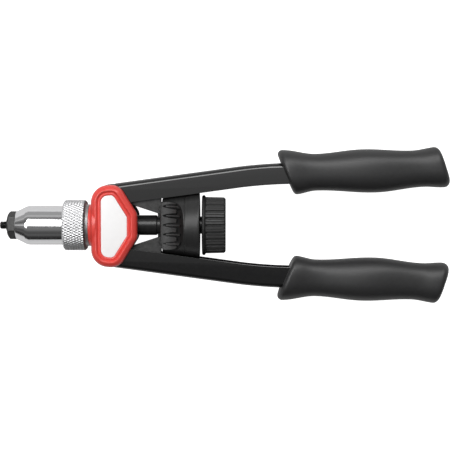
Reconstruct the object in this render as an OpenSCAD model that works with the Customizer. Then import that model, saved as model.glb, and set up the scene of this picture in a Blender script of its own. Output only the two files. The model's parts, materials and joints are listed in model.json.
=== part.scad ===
// Two-handed rivet nut tool, lying flat with its handles closed.
// The mandrel's axis is +X, from the nose towards the grips, and the handles swing in the XY plane.
// The origin is on that axis, at the front face of the nosepiece. Lengths are millimetres.

/* [Mandrel] */
// Nominal diameter of the mandrel's thread
thread_d = 6; // [5:0.5:7]
// Thread that stands out of the nosepiece with the handles closed
thread_out = 4.8; // [4:0.1:8]
// Width across the flats of the mandrel's head
mandrel_head_af = 10; // [9:0.5:11]
// Length of the mandrel's head
mandrel_head_len = 7.5; // [6:0.5:9]

/* [Nose] */
// Width across the flats of the nosepiece
nosepiece_af = 18; // [16:0.5:19]
// Length of the nosepiece's hexagon, with its front collar
nosepiece_len = 7.1; // [5:0.1:8]
// Diameter of the nosepiece's threaded stub
nosepiece_stub_d = 14; // [12:0.5:15]
// Length of the nosepiece's threaded stub
nosepiece_stub_len = 9.3; // [8:0.1:10]
// Diameter of the nose sleeve
sleeve_d = 28.8; // [27:0.2:31]
// Length of the sleeve in front of the coupling ring
sleeve_out = 35.1; // [34:0.1:42]
// Length of the cone at the sleeve's front
sleeve_cone_len = 7.8; // [6:0.1:10]
// Diameter of the cone's front end
sleeve_tip_d = 20.4; // [19:0.2:22]
// Wall of the sleeve
sleeve_wall = 3.7; // [3:0.1:4]
// Height of the sleeve's rear flange above the sleeve
sleeve_flange = 1.9; // [1.5:0.1:2.5]

/* [Coupling ring] */
// Length of the knurled coupling ring
ring_len = 16.7; // [14:0.1:20]
// Wall of the coupling ring over the neck's thread
ring_wall = 2.1; // [1.8:0.1:3]
// Length of the ring's inner shoulder, in front of the sleeve's flange
ring_shoulder = 7; // [5:0.5:8]
// Chamfer on the ring's front edge
ring_edge = 1.3; // [0.5:0.1:1.6]

/* [Head] */
// Diameter of the neck behind the coupling ring
neck_d = 30.6; // [28:0.2:32]
// Length of the bright collar that shows behind the coupling ring
collar_len = 2; // [1:0.1:3]
// From the front of the covers' neck to the handle pivots
pivot_setback = 14.6; // [14:0.1:18]
// From the handle pivots to the rear of the covers
head_tail = 21.2; // [19:0.1:24]
// Width of the covers' lobes beyond the handles' eyes
lobe_rim = 4.05; // [3:0.05:6]
// Thickness of the frame's cheeks
cheek_t = 3.5; // [3:0.1:5]
// Wall of the covers
cover_wall = 1.6; // [1.2:0.1:2]
// Height of the covers' bead above the cheeks
bead_rise = 3.5; // [3:0.1:5]
// Width of the bead round each cover
bead_w = 5.2; // [4:0.1:5.6]
// Distance of the label from the covers' outline
label_inset = 7.5; // [6.5:0.1:8]
// Diameter of the handle pivot pins
pivot_d = 8; // [7:0.5:9]

/* [Handles] */
// Width of the handles' channel
channel_w = 19; // [17:0.5:22]
// Depth of the handles' channel
channel_depth = 15.2; // [14.4:0.2:18]
// Sheet thickness of the handles
channel_t = 2.3; // [2:0.1:2.8]
// Outside radius of the channel's bends
channel_bend_r = 4; // [3:0.1:4.5]
// Radius of the eye round each handle pivot
eye_r = 8.4; // [7.5:0.1:9]
// Gap between a closed handle and the adjuster nut's rim
rest_gap = 1; // [0.3:0.05:1.6]
// From the pivot to the start of the handle's bend
straight_len = 92; // [88:1:110]
// Radius of the handle's bend
handle_bend_r = 363; // [300:1:450]
// Turn of the handle's bend, in degrees
handle_bend = 5.8; // [4:0.1:7]
// Length of the handle behind its bend
tail_len = 108; // [100:1:125]

/* [Grips] */
// Length of a grip along its axis, at its outer side
grip_len = 118.3; // [112:0.1:130]
// How far a grip reaches forward over the handle's bend, at its outer side
grip_lead = 3.8; // [2:0.1:6]
// How far a grip's front end slants back, from its outer to its inner side
grip_front_slant = 10.3; // [6:0.1:14]
// How far a grip's rear end slants back, from its outer to its inner side
grip_rear_slant = 6.6; // [5:0.1:12]
// Half width of a grip at its waists
grip_waist = 13.5; // [12.8:0.1:15]
// Half width of a grip at its belly
grip_belly = 16; // [15.2:0.1:18]
// Half width of a grip at its front flange
grip_flange = 17.2; // [15.2:0.1:19]
// Half width of a grip at its rear flare
grip_flare = 15; // [14:0.1:17]
// Thickness of a grip as a share of its width
grip_flatness = 0.93; // [0.9:0.01:1]

/* [Toggle] */
// Diameter of the drive spindle
spindle_d = 10; // [9:0.2:11]
// Wall of the slider tube
slider_wall = 2.3; // [2:0.1:3]
// Slider tube that shows between the head and the adjuster
slider_out = 16.2; // [15:0.1:20]
// Diameter of the slider's rear thread
slider_thread_d = 12.8; // [12.4:0.1:13.4]
// Diameter of the toggle pins
toggle_pin_d = 5; // [4:0.2:5.4]
// Radius of the links' eyes on the slider
link_eye_r = 4; // [3.6:0.1:4.6]
// Radius of the links' eyes on the handles
link_arm_eye_r = 4.8; // [4.6:0.1:5.2]
// Thickness of a link plate
link_t = 2.9; // [2.5:0.1:3.2]
// Link pin on the handle: distance behind the pivot, along the handle
link_pin_back = 9; // [8.8:0.1:10]
// Link pin on the handle: distance outside the pivot, across the handle
link_pin_side = 4.5; // [4:0.1:6]
// Radial play of the links on the handles' pins
link_play = 0.75; // [0.7:0.05:0.9]

/* [Stroke adjuster] */
// Length of the stop barrel
stop_len = 17.9; // [17.5:0.1:22]
// Wall of the stop barrel round its hollow
stop_wall = 1.6; // [1.2:0.1:2]
// Depth of the stop barrel's hollow
stop_hollow = 8.8; // [8.6:0.1:10]
// Length of the stop barrel's conical front face
stop_face_len = 1.7; // [1:0.1:2]
// Radius of the two thumb scoops in the stop barrel
scoop_r = 17; // [16:0.1:17.4]
// Rise of the pads above a scoop's floor
pad_rise = 1.5; // [1:0.1:2]
// Length of the scoop behind the pads
scoop_rear_len = 5.8; // [5:0.1:7]
// Number of flutes between the pads of a scoop
scoop_flutes = 5; // [3:1:5]
// Distance from one flute to the next
flute_pitch = 6.9; // [6:0.1:7]
// Width of a flute at its rear end
flute_w = 4.4; // [3:0.1:5]
// Width of the rib in each flute
flute_rib = 1.2; // [0.8:0.1:1.6]
// Length of the adjuster nut
adjuster_len = 10.6; // [9:0.1:15]
// Diameter of the adjuster nut's rear rim
adjuster_d = 47.8; // [46:0.2:50]
// Travel of the stop barrel over a turn of the adjuster nut
stop_travel = 1.25; // [0.8:0.05:1.25]

/* [Knob] */
// Gap between the adjuster nut and the knob
knob_gap = 1.75; // [1.7:0.05:4]
// Length of the knob
knob_len = 17.3; // [15:0.1:22]
// Diameter of the knob over its ribs
knob_d = 41.4; // [38:0.2:43]
// Height of the knob's front flange above its ribs
knob_flange = 1.3; // [0.5:0.1:2]
// Number of ribs round the knob
knob_ribs = 24; // [18:1:30]
// Depth of the grooves between the knob's ribs
knob_groove = 1.1; // [0.6:0.1:1.5]
// Width across the flats of the spindle's square drive in the knob
drive_af = 7; // [6:0.2:7]
// Diameter of the knob screw
screw_d = 4; // [3:0.5:4.5]

/* [Hidden] */
// Clearance of a shaft in its hole
fit = 0.05;
// Clearance between flat faces that slide past each other
slip = 0.3;
// Clearance of a piece seated in another
seat = 0.02;
// Least wall left round a blind hole
web = 3;
big = 400;
$fn = 96;

// Radii along the axis, from the inside out
thread_r = thread_d / 2;
shank_r = 0.89 * thread_r;
tip_chamfer = 0.8;
mandrel_bore_r = thread_r + 2 * fit;
stub_r = nosepiece_stub_d / 2;
sleeve_r = sleeve_d / 2;
sleeve_bore_r = sleeve_r - sleeve_wall;
flange_r = sleeve_r + sleeve_flange;
neck_thread_r = flange_r + 2 * fit;
ring_r = neck_thread_r + fit + ring_wall;
neck_r = neck_d / 2;
spindle_r = spindle_d / 2;
slider_bore_r = spindle_r + fit;
slider_r = slider_bore_r + slider_wall;
slider_thread_r = slider_thread_d / 2;
bush_wall = 2.2;
bush_r = slider_r + fit + bush_wall;
coupler_r = mandrel_head_af / 2 / cos(30) + web;

// Places along the axis, from the nose to the knob
nose_collar = 1;
sleeve_x = nosepiece_len + seat;
ring_x = nosepiece_len + sleeve_out;
sleeve_flange_x = ring_x + ring_shoulder + slip;
sleeve_flange_len = 4.1;
neck_x = sleeve_flange_x + sleeve_flange_len + seat;
ring_end = ring_x + ring_len;
collar_end = ring_end + collar_len;
head_x = collar_end + seat;
pivot_x = head_x + pivot_setback;
head_end = pivot_x + head_tail;
stop_x = head_end + slider_out;
stop_end = stop_x + stop_len;
adjuster_x = stop_end + slip;
adjuster_end = adjuster_x + adjuster_len;
knob_x = adjuster_end + knob_gap;
knob_end = knob_x + knob_len;

// The coupler leaves room for the stroke behind the nosepiece's stub
stroke_room = 10;
coupler_x = nosepiece_len + nosepiece_stub_len + stroke_room;
coupler_front_wall = 4;
mandrel_head_x = coupler_x + coupler_front_wall + seat;
coupler_cavity_end = mandrel_head_x + mandrel_head_len + 0.5;
slider_x = neck_x - 0.7;
coupler_end = slider_x - slip;
spindle_stub_r = min(spindle_r, mandrel_head_af / 2) - 1;

// Heights above and below the middle plane
channel_half = channel_w / 2;
channel_inside = channel_half - channel_t;
cheek_in = channel_half + slip;
cheek_out = cheek_in + cheek_t;
cover_floor = cheek_out + seat;
bead_top = cheek_out + bead_rise;
border_z = bead_top - 1.6;
label_t = 0.6;
link_out = channel_inside - 3 * slip - seat;
link_in = link_out - link_t;
ear_half = link_in - slip;

// The toggle's pins on the slider, and the handle pivots beside it
crosshead_pin = [stop_x + 1.9, slider_r + 0.65 + link_eye_r];
pivot_y = slider_r + 1.6 + eye_r;
pivot = [pivot_x, pivot_y];
hollow_r = norm([crosshead_pin.y + link_eye_r, link_out]) + 1.3;
stop_r = hollow_r + stop_wall;
adjuster_r = adjuster_d / 2;
knob_r = knob_d / 2;

// Handle section: its inner edge and its outer face, measured across the handle from the pivot
edge_in = -2.55;
edge_out = edge_in + channel_depth;
edge_mid = (edge_in + edge_out) / 2;

// Slope at which a handle's inner edge rests clear of a rim of radius r at x
function rest_slope(x, r) =
    let (rest_y = sqrt(pow(r + rest_gap, 2) - pow(min(channel_inside, r), 2)),
         to_rim = [x - pivot.x, rest_y - pivot.y])
    atan2(to_rim.y, to_rim.x) + asin(-edge_in / norm(to_rim));
handle_slope = max(
    rest_slope(adjuster_end, adjuster_r),
    rest_slope(stop_x + stop_face_len, stop_r),
    rest_slope(knob_x, knob_r + knob_flange));

// A point in the handle's own frame, along it and across it, as a point in the row frame
function on_handle(p) = pivot + [
    p.x * cos(handle_slope) - p.y * sin(handle_slope),
    p.x * sin(handle_slope) + p.y * cos(handle_slope)];
link_pin = on_handle([link_pin_back, link_pin_side]);

// The end of the handle's bend, in the handle's own frame
bend_end = [straight_len + handle_bend_r * sin(handle_bend), -handle_bend_r * (1 - cos(handle_bend))];

// Shared shapes

// Turns a shape drawn along +Z so that it lies along +X, starting at x
module along_x(x = 0) {
    translate([x, 0, 0]) rotate([0, 90, 0]) children();
}

// A round rod on the axis, from x0 to x1
module rod(x0, x1, r) {
    along_x(x0) cylinder(h = x1 - x0, r = r);
}

// A cone on the axis, from radius r0 at x0 to radius r1 at x1
module taper(x0, x1, r0, r1) {
    along_x(x0) cylinder(h = x1 - x0, r1 = r0, r2 = r1);
}

// A prism with n flats on the axis, from x0 to x1, af across its flats
module prism(x0, x1, af, n = 6, turn = 0) {
    along_x(x0) rotate([0, 0, turn]) cylinder(h = x1 - x0, r = af / 2 / cos(180 / n), $fn = n);
}

// A solid of revolution about the axis, from points [x, r]
module turned(profile) {
    along_x() rotate_extrude() polygon([for (p = profile) [p.y, p.x]]);
}

// The points of an arc
function arc(c, r, a0, a1, n) = [for (i = [0 : n]) c + r * [cos(a0 + (a1 - a0) * i / n), sin(a0 + (a1 - a0) * i / n)]];

// The direction of the outer tangent's normal from circle a to circle b, each [x, y, r]
function tangent(a, b) =
    let (d = [b.x - a.x, b.y - a.y])
    atan2(d.y, d.x) - acos((a.z - b.z) / norm(d));

// The outline of a belt round circles [x, y, r], given anticlockwise, drawn in by inset
function belt(circles, inset = 0, steps = 7) =
    let (n = len(circles))
    [for (i = [0 : n - 1])
        let (c = circles[i],
             a0 = tangent(circles[(i + n - 1) % n], c),
             turn = tangent(c, circles[(i + 1) % n]) - a0,
             a1 = a0 + turn - 360 * floor(turn / 360))
        each arc([c.x, c.y], c.z - inset, a0, a1, steps)];

// A plate of an outline, between two heights
module plate(outline, z0, z1) {
    translate([0, 0, z0]) linear_extrude(z1 - z0) polygon(outline);
}

// The lower handle's pieces are the upper's, mirrored
module lower() {
    mirror([0, 1, 0]) children();
}

// Places a shape drawn in the upper handle's own frame
module on_upper_handle() {
    translate([pivot.x, pivot.y, 0]) rotate([0, 0, handle_slope]) children();
}

// Nose and mandrel

module mandrel() {
    color("dimgray") {
        taper(-thread_out, -thread_out + tip_chamfer, thread_r - tip_chamfer, thread_r);
        rod(-thread_out + tip_chamfer, 0, thread_r);
        rod(0, mandrel_head_x, shank_r);
        prism(mandrel_head_x, mandrel_head_x + mandrel_head_len, mandrel_head_af);
    }
}

// Turn of the nosepiece's hexagon about the axis, as the tool is shown
nosepiece_turn = 20;
module nosepiece() {
    corner_r = nosepiece_af / 2 / cos(30);
    chamfer = 1.6;
    collar_r = thread_r + 1.7;
    color("dimgray") difference() {
        union() {
            rod(0, nose_collar + seat, collar_r);
            intersection() {
                prism(nose_collar, nosepiece_len, nosepiece_af, turn = nosepiece_turn);
                union() {
                    taper(nose_collar, nose_collar + chamfer, corner_r - 1.5 * chamfer, corner_r + seat);
                    rod(nose_collar + chamfer, nosepiece_len, corner_r + seat);
                }
            }
            rod(nosepiece_len - seat, nosepiece_len + nosepiece_stub_len, stub_r);
        }
        rod(-1, nosepiece_len + nosepiece_stub_len + 1, mandrel_bore_r);
    }
}

module nose_sleeve() {
    cone_round = 6;
    cone_normal = 118;
    cone_end = sleeve_x + sleeve_cone_len;
    front_wall_end = nosepiece_len + nosepiece_stub_len + seat;
    flange_end = sleeve_flange_x + sleeve_flange_len;
    color("silver") turned([
        [sleeve_x, stub_r + seat],
        [sleeve_x, sleeve_tip_d / 2],
        each arc([cone_end + 1.4, sleeve_r - cone_round], cone_round, cone_normal, 90, 4),
        [sleeve_flange_x, sleeve_r],
        [sleeve_flange_x, flange_r],
        [flange_end, flange_r],
        [flange_end, sleeve_bore_r],
        [front_wall_end + 2, sleeve_bore_r],
        [front_wall_end, sleeve_bore_r - 2],
        [front_wall_end, stub_r + seat]]);
}

module coupling_ring() {
    rear_edge = 0.7;
    shoulder_end = ring_x + ring_shoulder;
    color("silver") turned([
        [ring_x, sleeve_r + fit],
        [ring_x, ring_r - ring_edge],
        [ring_x + ring_edge, ring_r],
        [ring_end - rear_edge, ring_r],
        [ring_end, ring_r - rear_edge],
        [ring_end, neck_thread_r + fit],
        [shoulder_end, neck_thread_r + fit],
        [shoulder_end, sleeve_r + fit]]);
}

// Head

// The front block of the head lies in front of the handles' eyes
block_end = pivot_x - eye_r - 0.6;
neck_core_r = neck_r - cover_wall - 2 * seat;

module neck_bush() {
    color("silver") turned([
        [neck_x, slider_r + fit],
        [neck_x, neck_thread_r],
        [ring_end - 0.3, neck_thread_r],
        [ring_end - 0.3, neck_r],
        [collar_end, neck_r],
        [collar_end, bush_r],
        [block_end, bush_r],
        [block_end, slider_r + fit]]);
}

// The head's outline: a lobe round each pivot, its shoulder, and a corner at the rear
lobe_r = eye_r + lobe_rim;
shoulder_r = lobe_r - 1.45;
shoulder_shift = [2, 1.65];
rear_corner_r = label_inset + 1.2;
rear_corner_y = slider_r - 0.85;
head_circles = let (
        lobe = [pivot.x, pivot.y, lobe_r],
        shoulder = [pivot.x + shoulder_shift.x, pivot.y + shoulder_shift.y, shoulder_r],
        rear = [head_end - rear_corner_r, rear_corner_y, rear_corner_r])
    [for (c = [lobe, shoulder, rear]) [c.x, -c.y, c.z],
     rear, shoulder, lobe];

module head_frame() {
    inset = cover_wall + seat;
    bridge_len = 7;
    bridge_x = head_end - inset - bridge_len;
    bridge_half = bush_r + bush_wall / 2;
    color([0.1, 0.1, 0.11]) difference() {
        union() {
            for (side = [-1, 1])
                plate(belt(head_circles, inset), side > 0 ? cheek_in : -cheek_out, side > 0 ? cheek_out : -cheek_in);
            // The rear cover lies flat on its cheek, which shows its edge behind the block
            intersection() {
                plate(belt(head_circles, 0.3), -cheek_out, -cheek_in);
                translate([block_end + seat, -big / 2, -big / 2]) cube([big, big, big]);
            }
            rod(head_x, block_end, neck_core_r);
            intersection() {
                plate(belt(head_circles, inset), -cheek_in - seat, cheek_in + seat);
                union() {
                    translate([head_x, -big / 2, -big / 2]) cube([block_end - head_x, big, big]);
                    translate([bridge_x, -bridge_half, -big / 2]) cube([bridge_len, 2 * bridge_half, big]);
                }
            }
        }
        rod(head_x - 1, block_end + 1, bush_r + seat);
        rod(bridge_x - 1, head_end, bush_r + seat);
        for (side = [-1, 1])
            translate([pivot.x, side * pivot.y, -big / 2]) cylinder(h = big, r = pivot_d / 2 + seat);
    }
}

module rear_bush() {
    length = 6.4;
    end = head_end - cover_wall - seat;
    color("goldenrod") difference() {
        rod(end - length, end, bush_r);
        rod(end - length - 1, end + 1, slider_r + fit);
    }
}

// A stack of the head's outlines, each [height, inset], wrapped in one skin
module head_skin(levels) {
    hull() for (level = levels)
        translate([0, 0, level[0]]) linear_extrude(seat) polygon(belt(head_circles, level[1]));
}

// A cover, on the side towards +Z; only the front one has a recess for a label and a skirt round its cheek
module cover(has_label) {
    gap = slip / 2;
    color("firebrick") difference() {
        union() {
            head_skin([
                [gap, 0.3], [cheek_in, 0], [cheek_out, 0.15],
                [cheek_out + 0.5 * bead_rise, 0.7],
                [bead_top - 0.6, 1.7], [bead_top - seat, 3]]);
            intersection() {
                rod(head_x, block_end, neck_r);
                translate([0, -big / 2, gap]) cube([big, big, big]);
            }
        }
        // Room for the frame, and the slot that the handles swing in
        plate(belt(head_circles, cover_wall), -1, cover_floor);
        rod(head_x - 1, block_end + 1, neck_core_r + seat);
        translate([block_end, -big / 2, -1]) cube([big, big, 1 + (has_label ? cheek_in : cheek_out)]);
        // The dished middle with its border
        head_skin([[border_z, bead_w], [bead_top + 1, bead_w - 2]]);
        if (has_label)
            plate(belt(head_circles, label_inset), border_z - label_t - seat, bead_top);
    }
}

module front_cover() {
    cover(has_label = true);
}

module rear_cover() {
    mirror([0, 0, 1]) cover(has_label = false);
}

module front_label() {
    color("white") plate(belt(head_circles, label_inset + seat), border_z - label_t, border_z - 0.1);
}

module upper_pivot_pin() {
    color("gray") translate([pivot.x, pivot.y, -cheek_out]) cylinder(h = 2 * cheek_out, r = pivot_d / 2);
}

module lower_pivot_pin() {
    lower() upper_pivot_pin();
}

// Handles

// The channel's section as points [across, height], open towards the tool's axis
bend_facets = 10;
function channel_section(inner_edge) =
    let (bend_c = [edge_out - channel_bend_r, channel_half - channel_bend_r],
         low_c = [bend_c.x, -bend_c.y],
         inside_r = channel_bend_r - channel_t)
    [[inner_edge, -channel_half],
     each arc(low_c, channel_bend_r, -90, 0, bend_facets),
     each arc(bend_c, channel_bend_r, 0, 90, bend_facets),
     [inner_edge, channel_half],
     [inner_edge, channel_inside],
     each arc(bend_c, inside_r, 90, 0, bend_facets),
     each arc(low_c, inside_r, 0, -90, bend_facets),
     [inner_edge, -channel_inside]];

// The front end of the handle: the pivot eye, and a rounded nose where the channel's web starts
nose_r = 6;
nose_turn = 160;
eye_end = 290;
front_len = 16;
deep_edge = -eye_r - 1;
front_outline = concat(
    [[front_len, edge_in], [front_len, -big], [big, -big], [big, big], [nose_r + 1, big]],
    arc([nose_r + 1, edge_out - nose_r], nose_r, 90, nose_turn, 8),
    arc([0, 0], eye_r, nose_turn, eye_end, 14));

// Places along the handle, each [along, across, turn, inner edge of the section there]
bend_steps = 8;
handle_stations = [
    [deep_edge, 0, 0, deep_edge],
    [front_len - seat, 0, 0, deep_edge],
    [front_len, 0, 0, edge_in],
    for (i = [0 : bend_steps])
        let (turn = handle_bend * i / bend_steps)
        [straight_len + handle_bend_r * sin(turn), -handle_bend_r * (1 - cos(turn)), -turn, edge_in],
    [bend_end.x + tail_len * cos(handle_bend), bend_end.y - tail_len * sin(handle_bend), -handle_bend, edge_in]];

// A skin over rings of points, all of one length; each ring folds across its middle to close an end
module loft(rings) {
    n = len(rings[0]);
    last = (len(rings) - 1) * n;
    cap = [for (k = [0 : n / 2 - 2]) each [[k, k + 1, n - 1 - k], [k + 1, n - 2 - k, n - 1 - k]]];
    polyhedron([for (ring = rings) each ring], [
        each cap,
        for (t = cap) [last + t[2], last + t[1], last + t[0]],
        for (i = [0 : len(rings) - 2], k = [0 : n - 1])
            let (a = i * n + k,
                 b = i * n + (k + 1) % n)
            each [[a, a + n, b + n], [a, b + n, b]]]);
}

module upper_arm() {
    color([0.08, 0.08, 0.09]) on_upper_handle() difference() {
        intersection() {
            loft([for (at = handle_stations)
                [for (p = channel_section(at[3]))
                    [at.x - p.x * sin(at.z), at.y + p.x * cos(at.z), p.y]]]);
            plate(front_outline, -channel_w, channel_w);
        }
        translate([0, 0, -big / 2]) cylinder(h = big, r = pivot_d / 2 + fit);
        translate([link_pin_back, link_pin_side, -big / 2]) cylinder(h = big, r = toggle_pin_d / 2 + seat);
    }
}

module lower_arm() {
    lower() upper_arm();
}

module upper_link_pin() {
    color("gray") translate([link_pin.x, link_pin.y, -channel_half]) cylinder(h = channel_w, r = toggle_pin_d / 2);
}

module lower_link_pin() {
    lower() upper_link_pin();
}

// Grips

// A smooth wave through knots [s, value], level at each knot
function wave(knots, s, i = 0) =
    s <= knots[0].x ? knots[0].y
    : i >= len(knots) - 1 ? knots[len(knots) - 1].y
    : s > knots[i + 1].x ? wave(knots, s, i + 1)
    : let (t = (s - knots[i].x) / (knots[i + 1].x - knots[i].x))
      knots[i].y + (knots[i + 1].y - knots[i].y) * (1 - cos(180 * t)) / 2;

// Half width of the grip along its outer and inner sides; s runs from the grip's own front to its rear
function outer_wave(s) = wave([
    [2.5, grip_flange], [0.24 * grip_len, grip_waist], [0.52 * grip_len, grip_belly - 0.35],
    [0.83 * grip_len, grip_waist], [grip_len - 1, grip_flare + 0.6]], s);
function inner_wave(s) = wave([
    [1.5, grip_flange - 1.4], [0.15 * grip_len, grip_waist], [0.53 * grip_len, grip_belly + 0.4],
    [0.84 * grip_len, grip_waist], [grip_len - 5, grip_flare - 0.6]], s);

// How much of the section is left near the grip's rounded ends
end_round = 3.2;
function end_share(s, len, depth) =
    let (t = min(s, len - s) / end_round)
    t >= 1 ? 0 : depth * (1 - sqrt(1 - pow(1 - t, 2)));

grip_sides = 32;
grip_rings = 34;
grip_section = 2.4;
// Rings crowd towards the rounded ends
function grip_station(i) = (1 - cos(180 * i / (grip_rings - 1))) / 2;
function grip_ring(t) =
    let (inner_len = grip_len - grip_front_slant + grip_rear_slant,
         s_out = t * grip_len,
         s_in = t * inner_len,
         s_mid = (s_out + s_in) / 2,
         shrink = end_share(s_mid, (grip_len + inner_len) / 2, 2.8),
         half_out = outer_wave(s_out) - shrink,
         half_in = inner_wave(s_in * grip_len / inner_len) - shrink,
         half_z = grip_flatness * (half_out + half_in) / 2)
    [for (k = [0 : grip_sides - 1])
        let (a = 360 * k / grip_sides,
             cv = sign(cos(a)) * pow(abs(cos(a)), 2 / grip_section),
             cz = sign(sin(a)) * pow(abs(sin(a)), 2 / grip_section),
             lean = (1 + cv) / 2)
        [(s_in + grip_front_slant) * (1 - lean) + s_out * lean,
         cv * (cv > 0 ? half_out : half_in),
         cz * half_z]];

// The grip's outside, along +X from its front, with +Y towards the handle's outer side
module grip_body() {
    loft([for (i = [0 : grip_rings - 1]) grip_ring(grip_station(i))]);
}

module upper_grip() {
    pocket_half = [channel_depth / 2 + 0.15, channel_half + 0.15];
    color([0.2, 0.2, 0.2]) on_upper_handle()
        translate([bend_end.x, bend_end.y, 0]) rotate([0, 0, -handle_bend]) difference() {
            translate([-grip_lead, edge_mid, 0]) grip_body();
            translate([-grip_lead - 10, edge_mid - pocket_half.x, -pocket_half.y])
                cube([grip_lead + 10 + tail_len + seat, 2 * pocket_half.x, 2 * pocket_half.y]);
        }
}

module lower_grip() {
    lower() upper_grip();
}

// Toggle

module link_plate(z0) {
    color([0.16, 0.16, 0.17]) difference() {
        plate(belt([
            [crosshead_pin.x, crosshead_pin.y, link_eye_r],
            [link_pin.x, link_pin.y, link_arm_eye_r]], steps = 18), z0, z0 + link_t);
        translate([crosshead_pin.x, crosshead_pin.y, -big / 2]) cylinder(h = big, r = toggle_pin_d / 2 + fit);
        translate([link_pin.x, link_pin.y, -big / 2]) cylinder(h = big, r = toggle_pin_d / 2 + link_play);
    }
}

module upper_link_front() {
    link_plate(link_in);
}

module upper_link_rear() {
    link_plate(-link_out);
}

module lower_link_front() {
    lower() upper_link_front();
}

module lower_link_rear() {
    lower() upper_link_rear();
}

module upper_crosshead_pin() {
    color("gray") translate([crosshead_pin.x, crosshead_pin.y, -link_out]) cylinder(h = 2 * link_out, r = toggle_pin_d / 2);
}

module lower_crosshead_pin() {
    lower() upper_crosshead_pin();
}

slider_end = adjuster_end + stop_travel + slip;

module slider() {
    shoulder = 0.8;
    ear_x = crosshead_pin.x;
    ear_end = ear_x + link_eye_r;
    ear_root = 0.95 * link_eye_r;
    color([0.07, 0.07, 0.08]) difference() {
        union() {
            taper(slider_x, slider_x + shoulder, slider_r - shoulder, slider_r);
            rod(slider_x + shoulder, ear_x - link_eye_r - shoulder, slider_r);
            taper(ear_x - link_eye_r - shoulder, ear_x - link_eye_r, slider_r, slider_r - shoulder);
            rod(ear_x - link_eye_r, ear_end, slider_r - shoulder);
            rod(ear_end - 1, slider_end, slider_thread_r);
            for (side = [-1, 1])
                translate([ear_x, 0, -ear_half]) {
                    translate([-ear_root, side > 0 ? 0 : -crosshead_pin.y, 0])
                        cube([2 * ear_root, crosshead_pin.y, 2 * ear_half]);
                    translate([0, side * crosshead_pin.y, 0]) cylinder(h = 2 * ear_half, r = link_eye_r);
                }
        }
        rod(slider_x - 1, slider_end + 1, slider_bore_r);
        for (side = [-1, 1])
            translate([ear_x, side * crosshead_pin.y, -big / 2]) cylinder(h = big, r = toggle_pin_d / 2 + seat);
    }
}

// Spindle, knob and adjuster

washer_t = 1.9;
washer_x = slider_end + seat;
washer_lip = 4;
washer_r = spindle_r + washer_lip;
hub_x = washer_x + washer_t + seat;
screw_head_r = screw_d / 2 + 2.5;
screw_head_h = 3.2;
screw_seat = knob_end - screw_head_h - 0.5;
drive_end = screw_seat - 1;

module spindle() {
    color("gray") difference() {
        union() {
            rod(coupler_cavity_end + seat, coupler_end + seat, spindle_stub_r);
            rod(coupler_end + seat, hub_x, spindle_r);
            prism(hub_x - seat, drive_end, drive_af, 4, 45);
        }
        rod(drive_end - 10, drive_end + 1, screw_d / 2 + seat);
    }
}

module mandrel_coupler() {
    color("gray") difference() {
        rod(coupler_x, coupler_end, coupler_r);
        rod(coupler_x - 1, coupler_end + 1, shank_r + 2 * fit);
        prism(mandrel_head_x - seat, coupler_cavity_end, mandrel_head_af + 2 * fit);
        rod(coupler_cavity_end - seat, coupler_end + 1, spindle_stub_r + seat);
    }
}

module thrust_washer() {
    color("goldenrod") difference() {
        rod(washer_x, washer_x + washer_t, washer_r);
        rod(washer_x - 1, washer_x + washer_t + 1, spindle_r + fit);
    }
}

module knob() {
    flange_len = 2.6;
    flange_edge = 0.6;
    edge = 1.8;
    draft = 0.3;
    groove_end = knob_end - 0.4;
    pitch = 360 / knob_ribs;
    color([0.13, 0.13, 0.13]) difference() {
        turned([
            [knob_x, 0],
            [knob_x, knob_r + knob_flange - flange_edge],
            [knob_x + flange_edge, knob_r + knob_flange],
            [knob_x + flange_len - 0.6, knob_r + knob_flange],
            [knob_x + flange_len, knob_r],
            [knob_end - edge, knob_r - draft],
            [knob_end, knob_r - draft - edge],
            [knob_end, 0]]);
        for (k = [0 : knob_ribs - 1])
            rotate([k * pitch, 0, 0]) translate([0, 0, knob_r + 0.5 * knob_groove])
                rod(knob_x + flange_len + 0.6, groove_end + 1, 1.5 * knob_groove);
        rod(knob_x - 1, hub_x, washer_r + 0.2);
        prism(hub_x - seat, drive_end + seat, drive_af + 2 * seat, 4, 45);
        rod(drive_end, knob_end, screw_d / 2 + 0.2);
        rod(screw_seat, knob_end + 1, screw_head_r + 0.3);
    }
}

module knob_screw() {
    hex = 0.75 * screw_d;
    color("gray") difference() {
        union() {
            rod(drive_end - 9, screw_seat + 1, screw_d / 2);
            rod(screw_seat + seat, screw_seat + screw_head_h, screw_head_r);
        }
        prism(screw_seat + 1.2, knob_end, hex);
    }
}

// The stop barrel and the adjuster nut share one cone
cone_x = stop_x + stop_face_len;
function cone_r(x) = stop_r + (adjuster_r - stop_r) * (x - cone_x) / (adjuster_end - cone_x);

// Hollows a thumb scoop out to radius r; side is 1 above the tool and -1 below it
module scoop(side, r) {
    translate([stop_end - scoop_r, 0, side * (adjuster_r + 2.1)]) rotate([90, 0, 0])
        cylinder(h = big, r = r, center = true);
}

// The plan of what lies lower than the pads: pointed flutes with a rib each, and the scoop's rear
module flute_plan() {
    shift = 0.65;
    tip = stop_x + 2;
    pad_end = stop_end - scoop_rear_len;
    rib_x = tip + 1.8;
    difference() {
        union() {
            translate([pad_end, -stop_r]) square([scoop_rear_len, 2 * stop_r]);
            for (k = [0 : scoop_flutes - 1])
                translate([0, (k - (scoop_flutes - 1) / 2) * flute_pitch + shift])
                    polygon([[tip, 0], [pad_end + seat, -flute_w / 2], [pad_end + seat, flute_w / 2]]);
        }
        for (k = [0 : scoop_flutes - 1])
            translate([rib_x, (k - (scoop_flutes - 1) / 2) * flute_pitch + shift - flute_rib / 2])
                square([stop_len, flute_rib]);
    }
}

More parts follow.
